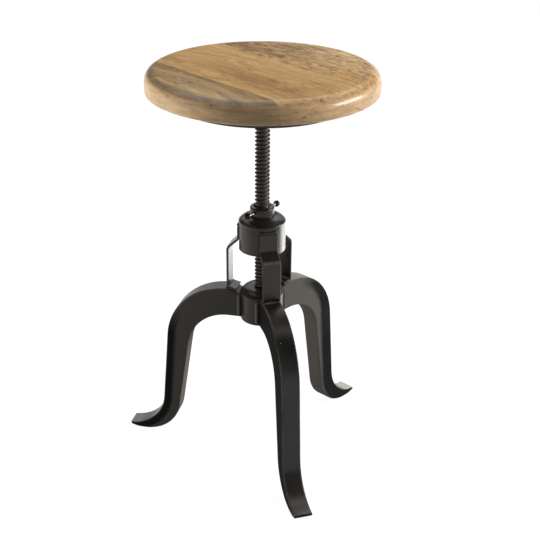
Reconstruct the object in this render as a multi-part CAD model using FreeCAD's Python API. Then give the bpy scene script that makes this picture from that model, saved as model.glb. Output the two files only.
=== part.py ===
import FreeCAD, Part
import math
import os

V = FreeCAD.Vector

# Seat: three boards glued edge to edge and turned to one round slab
seat_height = 616.0  # top of the seat above the floor, screw fully up
seat_diameter = 330.0
seat_thickness = 31.0
seat_round = 16.0  # round-over of the top edge
seat_ease = 3.0  # eased lower edge
grain_angle = -65.0  # direction of the boards, degrees from +X
front_glue_line = -92.0  # glue lines, measured across the boards from the axis
rear_glue_line = 36.5

# Steel frame under the seat
hoop_diameter = 252.0
hoop_depth = 15.0
hoop_wall = 4.0
bar_width = 30.0
bar_thickness = 5.0
boss_diameter = 44.0
boss_height = 24.0
frame_weld = 5.0  # leg of each weld between bars, boss and hoop

# Wood screws that hold the frame to the boards, a pair at each bar end
wood_screw_diameter = 4.2
wood_screw_bite = 20.0  # depth in the wood
wood_screw_head_diameter = 8.5
wood_screw_head = 3.0
wood_screw_inset = 14.0  # from the hoop's inner wall
wood_screw_spacing = 16.0  # between the two screws of a pair
screw_slot = 1.2  # driver slot, wide and deep

# Lifting screw
thread_diameter = 22.0
thread_depth = 2.4
thread_pitch = 6.0
thread_root_width = 4.0
thread_crest_width = 1.8
neck_diameter = 19.2
neck_least = 4.0  # shortest plain neck between the thread and the boss
spigot_diameter = 16.0
spigot_length = 18.0
pin_diameter = 5.0
pin_height = 9.0  # above the lower face of the boss

# Upper hub and the threaded bush in it
upper_hub_diameter = 70.0
upper_hub_bottom = 343.0
upper_hub_wall_height = 45.8
shoulder_rise = 8.0
shoulder_crown = 2.2  # how far the shoulder bulges above a straight cone
hub_edge = 1.5
collar_diameter = 36.4
collar_height = 14.2
collar_bore_gap = 1.5  # wide bore of the collar, beyond the thread's crest
collar_edge = 3.0
bush_diameter = 30.0
bush_length = 46.8

# Lock screws through the collar
lock_angle = -147.0  # direction of the front one, the other is opposite
lock_height = 7.2  # above the shoulder of the hub
lock_diameter = 4.0
lock_head_diameter = 9.5
lock_head = 5.0
lock_stand_off = 13.3  # bare shank between collar and head

# Lower hub
lower_hub_diameter = 66.0
lower_hub_bottom = 226.0
lower_hub_wall_height = 45.0
lower_dome_rise = 9.5
lower_dome_crown = 4.0
lower_dome_flat = 14.0  # radius of the flat round the screw
lower_hub_round = 3.0

# Straps of flat bar from the upper hub to the legs
strap_width = 28.0
strap_thickness = 3.5
strap_bend = 8.0  # radius of the outward step's bends, at the middle of the bar
strap_foot_bend = 5.0  # radius of the bend at the foot
strap_seat_depth = 3.3  # depth of the flat milled in the hub
strap_top_inset = 7.8  # below the shoulder's edge
strap_contact = 22.0  # length of a rear strap that lies on the hub
strap_joggle = 16.0  # height of its outward slope
front_strap_contact = 32.0  # the front strap lies on the hub for longer
front_strap_joggle = 10.0  # and steps out in less height
strap_reach = 52.2  # outer face of the upright, from the axis
strap_foot_gap = 3.5  # end of the foot to the lower hub

# Legs, all sizes in the upright plane through the axis
leg_azimuths = {"front": -90.0, "right": 30.0, "left": 150.0}
leg_width = 28.0
leg_edge = 1.6  # rounded edges of the forging
root_rise = 3.5  # top of the root above the lower hub's wall
root_slope = 14.0  # fall of the root's top towards the hub, degrees
root_slope_lead = 2.7  # the slope starts this far inside the strap's inner face
root_slope_bend = 20.0
root_straight = 6.3  # level top between the slope and the knee's bend
arch_straight = 17.1  # level underside between the lower hub and the arch's bend
toe_reach = 219.5  # tip of the toe from the axis
knee_outer_inset = 77.0  # outer shin line to root's top, measured back from the toe's tip
knee_inner_inset = 112.6  # inner shin line to root's underside
ankle_inset = 55.3  # outer shin line to the line of the toe
ankle_height = 14.2
ankle_bend = 62.0
heel_inset = 78.0  # inner shin line to the floor
heel_bend = 62.0
toe_lift = 12.5  # where the sole leaves the floor
sole_bend = 20.0
toe_height = 7.7
toe_thickness = 4.4
toe_bend = 2.0

# Welds of the base
root_weld = 8.0
bead_radius = 2.2

# Stop at the lower end of the screw
washer_diameter = 34.0
washer_thickness = 4.0
bolt_shoulder_diameter = 10.0
bolt_thread_diameter = 8.0
bolt_thread_length = 16.0
bolt_head_across_flats = 16.0
bolt_head = 5.5

# Clearances
thread_gap = 0.3  # between screw and nut, screw and guide, screw and lock tip
press_gap = 0.02  # fixed pieces that are pushed together
running_gap = 0.05  # pieces that turn or slide in each other
stop_gap = 0.5  # between the washer and the lower hub at the top of the travel
tolerance = 0.01  # edges and faces closer to a level than this lie on it

# Levels and radii that follow from the sizes above
seat_radius = seat_diameter / 2
seat_underside = seat_height - seat_thickness
hoop_inner = hoop_diameter / 2 - hoop_wall
bars_underside = seat_underside - bar_thickness
boss_radius = boss_diameter / 2
boss_bottom = bars_underside - boss_height
crest_radius = thread_diameter / 2
thread_root = crest_radius - thread_depth
upper_hub_radius = upper_hub_diameter / 2
shoulder_edge = upper_hub_bottom + upper_hub_wall_height
collar_base = shoulder_edge + shoulder_rise
collar_radius = collar_diameter / 2
bush_radius = bush_diameter / 2
bush_bottom = collar_base - bush_length
lower_hub_radius = lower_hub_diameter / 2
lower_wall_top = lower_hub_bottom + lower_hub_wall_height
strap_seat = upper_hub_radius - strap_seat_depth
strap_top = shoulder_edge - strap_top_inset
root_top = lower_wall_top + root_rise
root_bottom = lower_hub_bottom + lower_hub_round
root_slope_start = strap_reach - strap_thickness - root_slope_lead
root_fall = math.tan(math.radians(root_slope))
screw_end = lower_hub_bottom - stop_gap
thread_turns = math.floor((boss_bottom - neck_least - screw_end) / thread_pitch)
thread_top = screw_end + thread_turns * thread_pitch
screw_angles = [grain_angle + 90.0 * quarter for quarter in range(4)]


def turned(shape, degrees):
    """A copy of the shape turned about the stool's axis."""
    copy = shape.copy()
    copy.rotate(V(0, 0, 0), V(0, 0, 1), degrees)
    return copy


def disc(radius, low, high):
    """A cylinder on the stool's axis between two levels."""
    return Part.makeCylinder(radius, high - low, V(0, 0, low))


def block(x, y, z):
    """A box between (low, high) pairs along each axis."""
    return Part.makeBox(x[1] - x[0], y[1] - y[0], z[1] - z[0], V(x[0], y[0], z[0]))


def rounded_face(corners):
    """A flat face in the XZ plane through (x, z, radius) corners, each one rounded by a tangent arc."""
    points = [V(x, 0, z) for x, z, radius in corners]
    spans = []
    for i, (x, z, radius) in enumerate(corners):
        corner = points[i]
        if radius == 0:
            spans.append((corner, corner, corner))
            continue
        back = (points[i - 1] - corner).normalize()
        ahead = (points[(i + 1) % len(points)] - corner).normalize()
        half = back.getAngle(ahead) / 2
        inward = (back + ahead).normalize()
        reach = radius / math.tan(half)
        middle = corner + inward * (radius / math.sin(half) - radius)
        spans.append((corner + back * reach, middle, corner + ahead * reach))
    edges = []
    for i, (start, middle, end) in enumerate(spans):
        if corners[i][2] > 0:
            edges.append(Part.Arc(start, middle, end).toShape())
        edges.append(Part.makeLine(end, spans[(i + 1) % len(spans)][0]))
    return Part.Face(Part.Wire(edges))


def bar_corners(points, thickness):
    """Corners of the outline of a flat bar bent along a line of (x, z, bend radius) points at its middle."""
    line = [V(x, 0, z) for x, z, bend in points]
    bends = [bend for x, z, bend in points]
    runs = [(b - a).normalize() for a, b in zip(line, line[1:])]
    sides = [V(-run.z, 0, run.x) for run in runs]

    def edge(shift):
        corners = [(line[0] + sides[0] * shift, 0)]
        for i in range(1, len(runs)):
            before, after = sides[i - 1], sides[i]
            mitre = (before + after) * (shift / (1 + before.dot(after)))
            left_turn = runs[i].dot(before) > 0
            corners.append((line[i] + mitre, bends[i] - shift if left_turn else bends[i] + shift))
        corners.append((line[-1] + sides[-1] * shift, 0))
        return [(point.x, point.z, radius) for point, radius in corners]

    return edge(thickness / 2) + edge(-thickness / 2)[::-1]


def plate(face, width):
    """The face, drawn in the XZ plane, thickened evenly to both sides of it."""
    solid = face.extrude(V(0, width, 0))
    solid.translate(V(0, -width / 2, 0))
    return solid


def revolved(points):
    """A solid turned about the axis from a closed outline of (radius, level) points."""
    outline = Part.makePolygon([V(x, 0, z) for x, z in points + points[:1]])
    return Part.Face(outline).revolve(V(0, 0, 0), V(0, 0, 1), 360)


def threaded_rod(root, crest, root_width, crest_width, turns):
    """A right-hand screw from level 0 upwards, with the middle of its ridge on +X at level 0.

    A run of a few turns is cut square from a short sample. As the section repeats with each pitch,
    the sides of such runs stack up to any number of turns and are sewn to one solid.
    """
    run_turns = 6
    sunk = 0.4  # depth of the ridge's foot inside the core
    flank = (root_width - crest_width) / 2 / (crest - root)
    foot = root_width / 2 + flank * sunk
    tip = crest_width / 2
    section = [V(root - sunk, 0, -foot), V(crest, 0, -tip), V(crest, 0, tip), V(root - sunk, 0, foot)]
    helix = Part.makeHelix(thread_pitch, (run_turns + 2) * thread_pitch, root)
    ridge = Part.Wire(helix).makePipeShell([Part.makePolygon(section + section[:1])], True, True)
    ridge.translate(V(0, 0, -thread_pitch))
    sample = disc(root, -2 * thread_pitch, (run_turns + 2) * thread_pitch).fuse(ridge)
    faces = []
    done = 0
    while done < turns:
        count = min(run_turns, turns - done)
        top = count * thread_pitch
        for face in sample.common(disc(2 * crest, 0, top)).Faces:
            level = face.CenterOfMass.z
            flat = face.BoundBox.ZLength < tolerance
            inner_level = done > 0 if level < tolerance else done + count < turns
            if not (flat and inner_level):
                faces.append(face.translated(V(0, 0, done * thread_pitch)))
        done += count
    shell = Part.makeCompound(faces)
    shell.sewShape()
    return Part.makeSolid(shell.Shells[0])


def rim_edges(solid, level):
    """The edges of a solid that lie at one level."""
    flat = [edge for edge in solid.Edges if edge.BoundBox.ZLength < tolerance]
    return [edge for edge in flat if abs(edge.CenterOfMass.z - level) < tolerance]


def slotted_head(radius, height):
    """A domed screw head that stands on level 0 and carries a driver slot across its top."""
    dome = Part.makeCylinder(radius, height)
    dome = dome.makeFillet(height / 2, rim_edges(dome, height))
    slot = block((-radius, radius), (-screw_slot / 2, screw_slot / 2), (height - screw_slot, height))
    return dome.cut(slot)


def wood_screw_places():
    """(angle, offset) of each wood screw: a pair beside the middle of every bar end."""
    sides = (-wood_screw_spacing / 2, wood_screw_spacing / 2)
    return [(angle, side) for angle in screw_angles for side in sides]


def at_screw(shape, angle, side):
    """A copy of a shape made on the axis, set at one wood screw's place."""
    copy = shape.copy()
    copy.translate(V(hoop_inner - wood_screw_inset, side, 0))
    return turned(copy, angle)


def seat_boards():
    """The turned slab cut along its glue lines, with pilot holes for the wood screws."""
    face = rounded_face(
        [
            (0, seat_underside, 0),
            (seat_radius, seat_underside, seat_ease),
            (seat_radius, seat_height, seat_round),
            (0, seat_height, 0),
        ]
    )
    slab = face.revolve(V(0, 0, 0), V(0, 0, 1), 360)
    pilot = disc(wood_screw_diameter / 2 + running_gap, seat_underside, seat_underside + wood_screw_bite)
    for angle, side in wood_screw_places():
        slab = slab.cut(at_screw(pilot, angle, side))
    lines = [-seat_diameter, front_glue_line, rear_glue_line, seat_diameter]
    boards = {}
    for name, low, high in zip(("front", "centre", "rear"), lines, lines[1:]):
        strip = block((-seat_diameter, seat_diameter), (low, high), (seat_underside, seat_height))
        boards["board_" + name] = slab.common(turned(strip, grain_angle))
    return boards


def seat_frame():
    """Hoop, bars, boss and welds under the boards, and the wood screws through the bars."""
    hoop = disc(hoop_diameter / 2, seat_underside - hoop_depth, seat_underside)
    hoop = hoop.cut(disc(hoop_inner, seat_underside - hoop_depth, seat_underside))
    inside = disc(hoop_inner, boss_bottom, seat_underside)
    half = bar_width / 2
    levels = (bars_underside, seat_underside)
    across = (-half, half)
    holes = [
        at_screw(disc(wood_screw_diameter / 2 + thread_gap, *levels), angle, side)
        for angle, side in wood_screw_places()
    ]
    blanks = {
        "cross_bar": turned(block((-seat_diameter, seat_diameter), across, levels), grain_angle + 90),
        "side_bar_front": turned(block((half, seat_diameter), across, levels), grain_angle),
        "side_bar_rear": turned(block((half, seat_diameter), across, levels), grain_angle + 180),
    }
    pieces = {name: blank.common(inside).cut(holes) for name, blank in blanks.items()}
    pieces["seat_hoop"] = hoop

    boss = disc(boss_radius, boss_bottom, bars_underside)
    boss = boss.makeFillet(hub_edge, rim_edges(boss, boss_bottom))
    boss = boss.cut(disc(spigot_diameter / 2 + press_gap, boss_bottom, boss_bottom + spigot_length))
    pieces["seat_boss"] = boss.cut(cross_pin(pin_diameter / 2 + press_gap))

    corner = bars_underside - frame_weld
    rings = []
    for wall, toe in ((boss_radius, boss_radius + frame_weld), (hoop_inner, hoop_inner - frame_weld)):
        rings.append(revolved([(wall, bars_underside), (toe, bars_underside), (wall, corner)]))
    strip = block((0, seat_diameter), across, (corner, bars_underside))
    runs = [ring.common(turned(strip, angle)) for ring in rings for angle in screw_angles]
    pieces["seat_frame_welds"] = Part.makeCompound(runs)

    length = bar_thickness + wood_screw_bite
    shank = Part.makeCylinder(wood_screw_diameter / 2, length, V(0, 0, bars_underside))
    head = slotted_head(wood_screw_head_diameter / 2, wood_screw_head)
    head.rotate(V(0, 0, 0), V(1, 0, 0), 180)
    head.translate(V(0, 0, bars_underside))
    screw = shank.fuse(head)
    pieces["wood_screws"] = Part.makeCompound([at_screw(screw, *place) for place in wood_screw_places()])
    return pieces


def cross_pin(radius):
    """The pin through the boss and the screw's spigot, across the cross bar."""
    pin = Part.makeCylinder(radius, boss_diameter, V(-boss_radius, 0, boss_bottom + pin_height), V(1, 0, 0))
    return turned(pin.common(disc(boss_radius, boss_bottom, bars_underside)), grain_angle)


def lifting_screw():
    """The threaded shaft with its plain neck, its spigot in the boss and the bolt hole in its end."""
    rod = threaded_rod(thread_root, crest_radius, thread_root_width, thread_crest_width, thread_turns)
    rod.translate(V(0, 0, screw_end))
    neck = disc(neck_diameter / 2, thread_top, boss_bottom)
    spigot = disc(spigot_diameter / 2, boss_bottom, boss_bottom + spigot_length)
    bolt_hole = disc(bolt_thread_diameter / 2 + press_gap, screw_end, screw_end + bolt_thread_length)
    return rod.fuse(neck.fuse(spigot)).cut(bolt_hole).cut(cross_pin(pin_diameter / 2 + press_gap))


def domed_hub(radius, bottom, wall_top, flat, rise, crown):
    """A round hub with an upright wall and a crowned shoulder up to a flat of the given radius."""
    middle = V((radius + flat) / 2, 0, wall_top + rise / 2 + crown)
    crest = wall_top + rise
    edges = [
        Part.makeLine(V(0, 0, bottom), V(radius, 0, bottom)),
        Part.makeLine(V(radius, 0, bottom), V(radius, 0, wall_top)),
        Part.Arc(V(radius, 0, wall_top), middle, V(flat, 0, crest)).toShape(),
        Part.makeLine(V(flat, 0, crest), V(0, 0, crest)),
        Part.makeLine(V(0, 0, crest), V(0, 0, bottom)),
    ]
    return Part.Face(Part.Wire(edges)).revolve(V(0, 0, 0), V(0, 0, 1), 360)


def upper_hub():
    """The hub with its bore for the bush and a flat milled for each strap."""
    flat_radius = collar_radius + hub_edge
    hub = domed_hub(
        upper_hub_radius,
        upper_hub_bottom,
        shoulder_edge,
        flat_radius,
        shoulder_rise,
        shoulder_crown,
    )
    hub = hub.makeFillet(hub_edge, rim_edges(hub, upper_hub_bottom) + rim_edges(hub, shoulder_edge))
    hub = hub.cut(disc(bush_radius + press_gap, upper_hub_bottom, collar_base))
    flat = block((strap_seat, upper_hub_diameter), (-upper_hub_radius, upper_hub_radius), (0, strap_top))
    return hub.cut([turned(flat, azimuth) for azimuth in leg_azimuths.values()])


def lock_hole_line(radius, start, end):
    """A cylinder along the front lock screw's line between two distances from the axis."""
    line = Part.makeCylinder(radius, end - start, V(start, 0, collar_base + lock_height), V(1, 0, 0))
    return turned(line, lock_angle)


def threaded_bush():
    """The bush whose collar stands on the upper hub, with the nut thread and holes for the lock screws."""
    collar = disc(collar_radius, collar_base, collar_base + collar_height)
    collar = collar.makeFillet(collar_edge, rim_edges(collar, collar_base + collar_height))
    bush = collar.fuse(disc(bush_radius, bush_bottom, collar_base))
    bush = bush.cut(disc(crest_radius + collar_bore_gap, collar_base, collar_base + collar_height))
    steps_up = math.floor((bush_bottom - screw_end) / thread_pitch)
    turns = math.ceil(bush_length / thread_pitch) + 1
    tap = threaded_rod(
        thread_root + thread_gap,
        crest_radius + thread_gap,
        thread_root_width + 2 * thread_gap,
        thread_crest_width + 2 * thread_gap,
        turns,
    )
    tap.translate(V(0, 0, screw_end + steps_up * thread_pitch))
    hole = lock_hole_line(lock_diameter / 2 + running_gap, 0, collar_diameter)
    return bush.cut(tap).cut([hole, turned(hole, 180)])


def lock_screw():
    """The front lock screw: a thin shank with a slotted round head, its tip just clear of the thread."""
    head_start = collar_radius + lock_stand_off
    shank = lock_hole_line(lock_diameter / 2, crest_radius + thread_gap, head_start)
    head = slotted_head(lock_head_diameter / 2, lock_head)
    head.rotate(V(0, 0, 0), V(0, 1, 0), 90)
    head.translate(V(head_start, 0, collar_base + lock_height))
    return shank.fuse(turned(head, lock_angle))


def lower_hub():
    """The hub that the legs are welded to, bored to guide the screw."""
    hub = domed_hub(
        lower_hub_radius,
        lower_hub_bottom,
        lower_wall_top,
        lower_dome_flat,
        lower_dome_rise,
        lower_dome_crown,
    )
    hub = hub.makeFillet(lower_hub_round, rim_edges(hub, lower_hub_bottom))
    hub = hub.makeFillet(hub_edge, rim_edges(hub, lower_wall_top))
    return hub.cut(disc(crest_radius + thread_gap, lower_hub_bottom, lower_wall_top + lower_dome_rise))


def root_level(radius):
    """Level of the sloping top of a leg's root."""
    return root_top - (root_slope_start - radius) * root_fall


def bend_radius(before, corner, after, reach):
    """Radius of the arc that rounds a corner between (x, z) points and starts this far from it."""
    back = V(before[0] - corner[0], 0, before[1] - corner[1])
    ahead = V(after[0] - corner[0], 0, after[1] - corner[1])
    return reach * math.tan(back.getAngle(ahead) / 2)


def leg():
    """One leg along +X: a forged bar with a knee, an ankle and a turned-up toe, coped to the lower hub."""
    root_start = lower_hub_radius - leg_width / 2
    slope = (root_slope_start, root_top)
    knee_outer = (toe_reach - knee_outer_inset, root_top)
    ankle = (toe_reach - ankle_inset, ankle_height)
    heel = (toe_reach - heel_inset, 0)
    knee_inner = (toe_reach - knee_inner_inset, root_bottom)
    arch = (lower_hub_radius + arch_straight, root_bottom)
    outer_reach = knee_outer[0] - slope[0] - root_straight
    inner_reach = knee_inner[0] - arch[0]
    face = rounded_face(
        [
            (root_start, root_level(root_start), 0),
            (*slope, root_slope_bend),
            (*knee_outer, bend_radius(slope, knee_outer, ankle, outer_reach)),
            (*ankle, ankle_bend),
            (toe_reach, toe_height, toe_bend),
            (toe_reach - toe_thickness / 4, toe_height - toe_thickness, toe_bend),
            (toe_reach - toe_lift, 0, sole_bend),
            (*heel, heel_bend),
            (*knee_inner, bend_radius(heel, knee_inner, arch, inner_reach)),
            (root_start, root_bottom, 0),
        ]
    )
    bar = plate(face, leg_width)
    rims = []
    for edge in bar.Edges:
        on_side = abs(abs(edge.CenterOfMass.y) - leg_width / 2) < tolerance
        if on_side and edge.BoundBox.XMax > root_start + tolerance:
            rims.append(edge)
    return bar.makeFillet(leg_edge, rims).cut(disc(lower_hub_radius, 0, seat_height))


def strap(contact, joggle):
    """One strap along +X: flat bar that lies on the hub, steps out, drops and ends on a leg's root."""
    half = strap_thickness / 2
    rise = half / math.cos(math.radians(root_slope))
    upright = strap_reach - half
    foot_end = lower_hub_radius + strap_foot_gap
    bend_top = strap_top - contact
    path = [
        (strap_seat + half, strap_top, 0),
        (strap_seat + half, bend_top, strap_bend),
        (upright, bend_top - joggle, strap_bend),
        (upright, root_level(upright) + rise, strap_foot_bend),
        (foot_end, root_level(foot_end) + rise, 0),
    ]
    return plate(rounded_face(bar_corners(path, strap_thickness)), strap_width)


def bead(radius, level):
    """A weld bead that lies across a strap at one distance from the axis."""
    return Part.makeCylinder(bead_radius, strap_width, V(radius, -strap_width / 2, level), V(0, 1, 0))


def root_weld_pair():
    """The two upright weld runs between one leg along +X and the lower hub."""
    side = leg_width / 2
    corner = math.sqrt(lower_hub_radius**2 - side**2)
    spread = math.asin(side / lower_hub_radius) + root_weld / lower_hub_radius
    low = root_bottom + leg_edge
    high = root_level(corner) - leg_edge
    points = [
        V(corner - root_weld, side, low),
        V(corner + root_weld, side, low),
        V(lower_hub_radius * math.cos(spread), lower_hub_radius * math.sin(spread), low),
    ]
    run = Part.Face(Part.makePolygon(points + points[:1])).extrude(V(0, 0, high - low))
    run = run.cut(disc(lower_hub_radius, 0, seat_height))
    return [run, run.mirror(V(0, 0, 0), V(0, 1, 0))]


def base():
    """Hubs, bush, legs, straps and their welds."""
    pieces = {"upper_hub": upper_hub(), "thread_bush": threaded_bush(), "lower_hub": lower_hub()}
    leg_bar = leg()
    head_bead = bead(strap_seat + strap_thickness, strap_top)
    foot_bead = bead(strap_reach, root_level(strap_reach - strap_thickness))
    welds = {"leg_root_welds": [], "strap_head_welds": [], "strap_foot_welds": []}
    for name, azimuth in leg_azimuths.items():
        pieces["leg_" + name] = turned(leg_bar, azimuth)
        if name == "front":
            strap_bar = strap(front_strap_contact, front_strap_joggle)
        else:
            strap_bar = strap(strap_contact, strap_joggle)
        pieces["strap_" + name] = turned(strap_bar, azimuth)
        welds["leg_root_welds"] += [turned(run, azimuth) for run in root_weld_pair()]
        head = turned(head_bead, azimuth).cut([pieces["upper_hub"], pieces["strap_" + name]])
        foot = turned(foot_bead, azimuth).cut([pieces["leg_" + name], pieces["strap_" + name]])
        welds["strap_head_welds"].append(head)
        welds["strap_foot_welds"].append(foot)
    for name, runs in welds.items():
        pieces[name] = Part.makeCompound(runs)
    return pieces


def end_stop():
    """The loose washer under the lower hub and the shoulder bolt that holds it to the screw."""
    washer_top = screw_end - running_gap
    washer = disc(washer_diameter / 2, washer_top - washer_thickness, washer_top)
    washer = washer.cut(disc(bolt_shoulder_diameter / 2 + running_gap, 0, seat_height))
    shoulder_bottom = washer_top - washer_thickness - running_gap
    bolt = disc(bolt_shoulder_diameter / 2, shoulder_bottom, screw_end)
    bolt = bolt.fuse(disc(bolt_thread_diameter / 2, screw_end, screw_end + bolt_thread_length))
    corner = bolt_head_across_flats / 2 / math.cos(math.radians(30))
    hexagon = [
        V(corner * math.cos(math.radians(60 * i)), corner * math.sin(math.radians(60 * i)), shoulder_bottom)
        for i in range(6)
    ]
    head = Part.Face(Part.makePolygon(hexagon + hexagon[:1])).extrude(V(0, 0, -bolt_head))
    return {"stop_washer": washer, "end_bolt": bolt.fuse(head)}


pieces = {**base(), **end_stop(), **seat_boards(), **seat_frame()}
pieces["lifting_screw"] = lifting_screw()
pieces["boss_pin"] = cross_pin(pin_diameter / 2)
pieces["lock_screw_front"] = lock_screw()
pieces["lock_screw_rear"] = turned(lock_screw(), 180)

os.makedirs("parts", exist_ok=True)
for name, shape in pieces.items():
    shape.exportStep("parts/" + name + ".step")
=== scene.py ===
import math

import bmesh
import bpy
import numpy as np
from mathutils import Matrix, Vector


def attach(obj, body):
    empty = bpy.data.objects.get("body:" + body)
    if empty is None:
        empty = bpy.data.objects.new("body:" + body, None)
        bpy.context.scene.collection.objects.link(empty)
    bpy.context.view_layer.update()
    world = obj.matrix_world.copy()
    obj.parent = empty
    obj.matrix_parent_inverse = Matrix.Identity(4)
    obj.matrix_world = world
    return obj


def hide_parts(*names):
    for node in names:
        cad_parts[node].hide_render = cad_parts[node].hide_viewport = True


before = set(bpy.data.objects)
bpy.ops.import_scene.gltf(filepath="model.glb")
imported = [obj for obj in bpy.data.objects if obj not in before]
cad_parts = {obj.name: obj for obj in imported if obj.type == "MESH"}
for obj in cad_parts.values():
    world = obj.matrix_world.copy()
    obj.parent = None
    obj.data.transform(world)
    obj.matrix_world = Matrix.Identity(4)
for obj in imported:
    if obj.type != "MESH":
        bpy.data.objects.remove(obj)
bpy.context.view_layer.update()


# Lower hub
# A turned iron boss that the legs are welded to, bored through so that the screw can drop into it.
# Satin black enamel over a fine cast skin, rubbed thin along its rims, and painted darker than the
# upper hub's as shade under the seat.
MM = 0.001
TINT = {"data_type": "RGBA"}


def linear(code):
    """Linear RGBA of an sRGB hex colour: each channel over 255, with the sRGB curve undone."""
    channels = np.array([int(code[i : i + 2], 16) for i in (1, 3, 5)]) / 255
    curved = ((channels + 0.055) / 1.055) ** 2.4
    return (*np.where(channels <= 0.04045, channels / 12.92, curved).tolist(), 1.0)


def feed(tree, node, inputs):
    """Fills a node's sockets: another node's output is linked, and any other value is stored.

    A socket goes by its name, or by its place where names repeat or are long. In Map Range, 1 and 2
    limit the value and 3 and 4 the result. In Mix, 2 and 3 are two numbers and 6 and 7 two colours.
    """
    for name, value in inputs.items():
        if isinstance(value, bpy.types.NodeSocket):
            tree.links.new(value, node.inputs[name])
        else:
            node.inputs[name].default_value = value


def add(tree, kind, inputs=None, stops=None, **settings):
    """A shader node with its properties, its sockets and, on a ramp, its (place, colour) stops."""
    made = tree.nodes.new("ShaderNode" + kind)
    for name, value in settings.items():
        setattr(made, name, value)
    feed(tree, made, inputs or {})
    for i, (place, code) in enumerate(stops or []):
        stop = made.color_ramp.elements[i] if i < 2 else made.color_ramp.elements.new(place)
        stop.position = place
        stop.color = linear(code)
    return made


def new_material(name):
    """A material made of nodes: itself, its tree and its shader."""
    made = bpy.data.materials.new(name)
    made.use_nodes = True
    return made, made.node_tree, made.node_tree.nodes["Principled BSDF"]


def black_enamel(name, wear_from, film, bare, gloss, level):
    """Brushed-on satin enamel over cast or rolled iron.

    The eye sees a near-black film with broad soft reflections, a faint grain from the metal under it,
    flats that are dulled and painted a lighter grey for the light that falls on them, thin worn grey
    edges, bends painted grey as highlights, and a few pin-sized chips. film holds the colours of the
    thick film, of its thin places and of the flats painted lighter, bare is the metal's, gloss the
    film's roughness where nothing has dulled it and level its reflection.
    """
    peel, peel_depth = 1.3 * MM, 0.025 * MM
    cast, cast_depth = 7 * MM, 0.12 * MM
    patch = 45 * MM
    rim = 0.9 * MM
    chip_spacing, chip_radius = 34 * MM, 0.7 * MM
    chips_above = 0.6
    rubbed_gloss = 0.8
    made, tree, shader = new_material(name)
    place = add(tree, "TexCoord").outputs["Object"]
    fine, coarse, broad = (
        add(tree, "TexNoise", {"Vector": place, "Scale": 1 / size, "Detail": detail}).outputs["Fac"]
        for size, detail in ((peel, 2.0), (cast, 3.0), (patch, 4.0))
    )

    if wear_from == "edges":
        rounded = add(tree, "Bevel", {"Radius": rim}, samples=6).outputs["Normal"]
        flat = add(tree, "NewGeometry").outputs["Normal"]
        both = {0: rounded, 1: flat}
        facing = add(tree, "VectorMath", both, operation="DOT_PRODUCT").outputs["Value"]
        edge = add(tree, "MapRange", {"Value": facing, 1: 0.985, 2: 0.86}).outputs["Result"]
    else:
        edge = add(tree, "Attribute", attribute_name=wear_from).outputs["Fac"]
    thin = add(tree, "MapRange", {"Value": broad, 1: 0.42, 2: 0.7, 4: 0.7}).outputs["Result"]
    # Worn edges, and the painted highlights on bends and beads, turn to bare grey metal.
    worn_and_highlit = add(tree, "Math", {0: edge, 1: thin}, operation="MULTIPLY", use_clamp=True).outputs[0]

    cells = add(tree, "TexVoronoi", {"Vector": place, "Scale": 1 / chip_spacing}).outputs
    reach = {0: cells["Distance"], 1: chip_radius / chip_spacing}
    near = add(tree, "Math", reach, operation="LESS_THAN").outputs[0]
    picked = add(tree, "SeparateColor", {"Color": cells["Color"]}).outputs["Red"]
    few = add(tree, "Math", {0: picked, 1: chips_above}, operation="GREATER_THAN").outputs[0]
    chip = add(tree, "Math", {0: near, 1: few}, operation="MULTIPLY").outputs[0]
    bare_and_highlit = add(tree, "Math", {0: worn_and_highlit, 1: chip}, operation="MAXIMUM").outputs[0]

    tones = [(0.3, film[0]), (0.7, film[1])]
    black = add(tree, "ValToRGB", {"Fac": broad}, stops=tones).outputs["Color"]
    # Where this attribute is set, the third film colour paints the flats lighter for light falling on
    # them, and dulls them.
    rubbed_and_lit = add(tree, "Attribute", attribute_name="rubbed_and_lit").outputs["Fac"]
    dulled_and_lit = add(tree, "Mix", {0: rubbed_and_lit, 6: black, 7: linear(film[2])}, **TINT).outputs[2]
    colour = add(tree, "Mix", {0: bare_and_highlit, 6: dulled_and_lit, 7: linear(bare)}, **TINT).outputs[2]
    uneven = {"Value": broad, 1: 0.3, 2: 0.7, 3: gloss - 0.05, 4: gloss + 0.06}
    glossy = add(tree, "MapRange", uneven).outputs["Result"]
    matt = add(tree, "Math", {0: rubbed_and_lit, 1: edge}, operation="MAXIMUM").outputs[0]
    roughness = add(tree, "Mix", {0: matt, 2: glossy, 3: rubbed_gloss}).outputs[0]
    grain = {"Height": fine, "Strength": 0.5, "Distance": peel_depth}
    skin = {"Height": coarse, "Strength": 0.5, "Distance": cast_depth}
    skin["Normal"] = add(tree, "Bump", grain).outputs["Normal"]
    normal = add(tree, "Bump", skin).outputs["Normal"]
    feed(tree, shader, {"Base Color": colour, "Roughness": roughness, "Normal": normal})
    feed(tree, shader, {"Specular IOR Level": level})
    return made


def dress(node, material):
    """Puts one material on a CAD node in place of the plain one it came with."""
    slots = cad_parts[node].data.materials
    slots.clear()
    slots.append(material)


# The hub enamel painted darker, as the shade that the lower hub sits in.
lower_hub_shaded_film = ("#191714", "#24201c", "#2e2b27")
lower_hub_shaded_enamel = black_enamel(
    "lower_hub_shaded_black_enamel", "edges", lower_hub_shaded_film, bare="#77726a", gloss=0.26, level=0.25
)
dress("lower_hub", lower_hub_shaded_enamel)
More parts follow.
